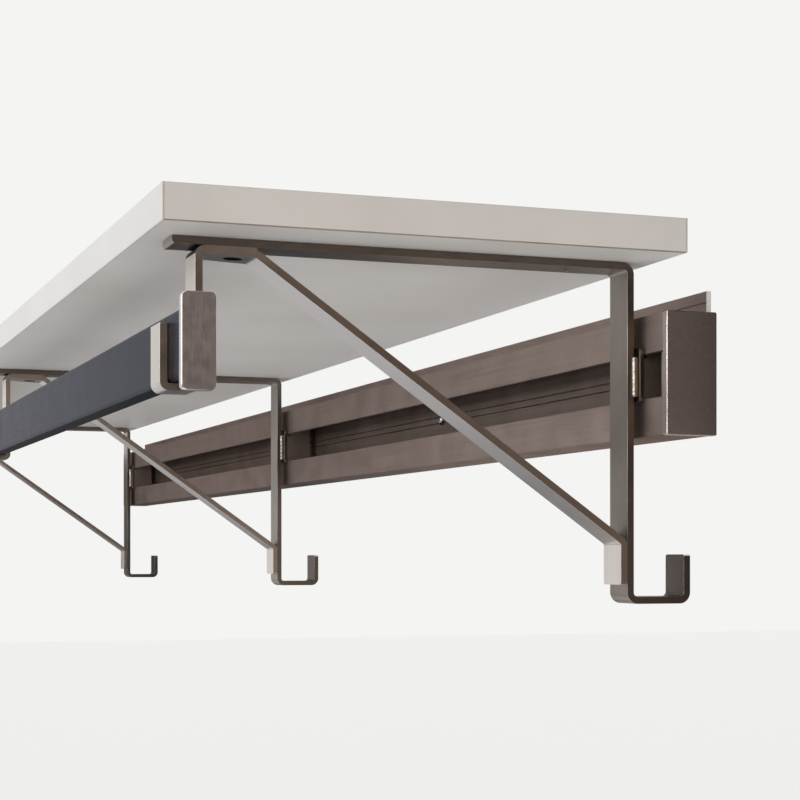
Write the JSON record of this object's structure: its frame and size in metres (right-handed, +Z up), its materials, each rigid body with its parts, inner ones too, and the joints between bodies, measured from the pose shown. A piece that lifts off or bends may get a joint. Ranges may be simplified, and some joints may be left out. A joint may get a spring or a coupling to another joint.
{
  "type": "wall-mounted shelf with hanging rod",
  "caption": "Laminate shelf on flat-bar brackets that hook into a slotted wall track, with a rectangular hanging rod in cradles under its front edge.",
  "frame": {"origin": "on the wall plane, at the middle of the shelf's length, level with the middle of the track's upper lip", "axes": "+X along the shelf, +Y into the wall, +Z up; the shelf's front faces -Y"},
  "size_m": [1.524, 0.353, 0.2117],
  "materials": {
    "laminate": "fine-textured white melamine laminate on board",
    "edge_band": "white edge band",
    "nickel": "brushed nickel plating on steel",
    "track_aluminium": "warm grey anodised",
    "rod_aluminium": "slate grey anodised, brushed",
    "zinc_screw": "bright zinc plated"
  },
  "bodies": {
    "wall_part": {"wall_track": "track_aluminium", "right_track_cap": "nickel", "left_track_cap": "nickel", "wall_screw_1": "zinc_screw", "wall_screw_2": "zinc_screw", "wall_screw_3": "zinc_screw", "wall_screw_4": "zinc_screw"},
    "shelf_unit": {"shelf_board": "laminate", "front_edge_band": "edge_band", "rear_edge_band": "edge_band", "right_edge_band": "edge_band", "left_edge_band": "edge_band", "right_bracket_frame": "nickel", "middle_bracket_frame": "nickel", "left_bracket_frame": "nickel", "right_cradle_brace": "nickel", "middle_cradle_brace": "nickel", "left_cradle_brace": "nickel", "right_track_clip": "nickel", "middle_track_clip": "nickel", "left_track_clip": "nickel", "right_shelf_screw": "zinc_screw", "middle_shelf_screw": "zinc_screw", "left_shelf_screw": "zinc_screw"},
    "rod_unit": {"hanging_rod": "rod_aluminium", "right_rod_cap": "nickel", "left_rod_cap": "nickel"}
  },
  "joints": [
    {"name": "shelf_slide", "type": "slide", "parent": "wall_part", "child": "shelf_unit", "axis": [1, 0, 0], "range_m": [-0.032, 0.0175]},
    {"name": "rod_lift", "type": "slide", "parent": "shelf_unit", "child": "rod_unit", "axis": [0, 0, 1], "range_m": [0, 0.0335]}
  ]
}
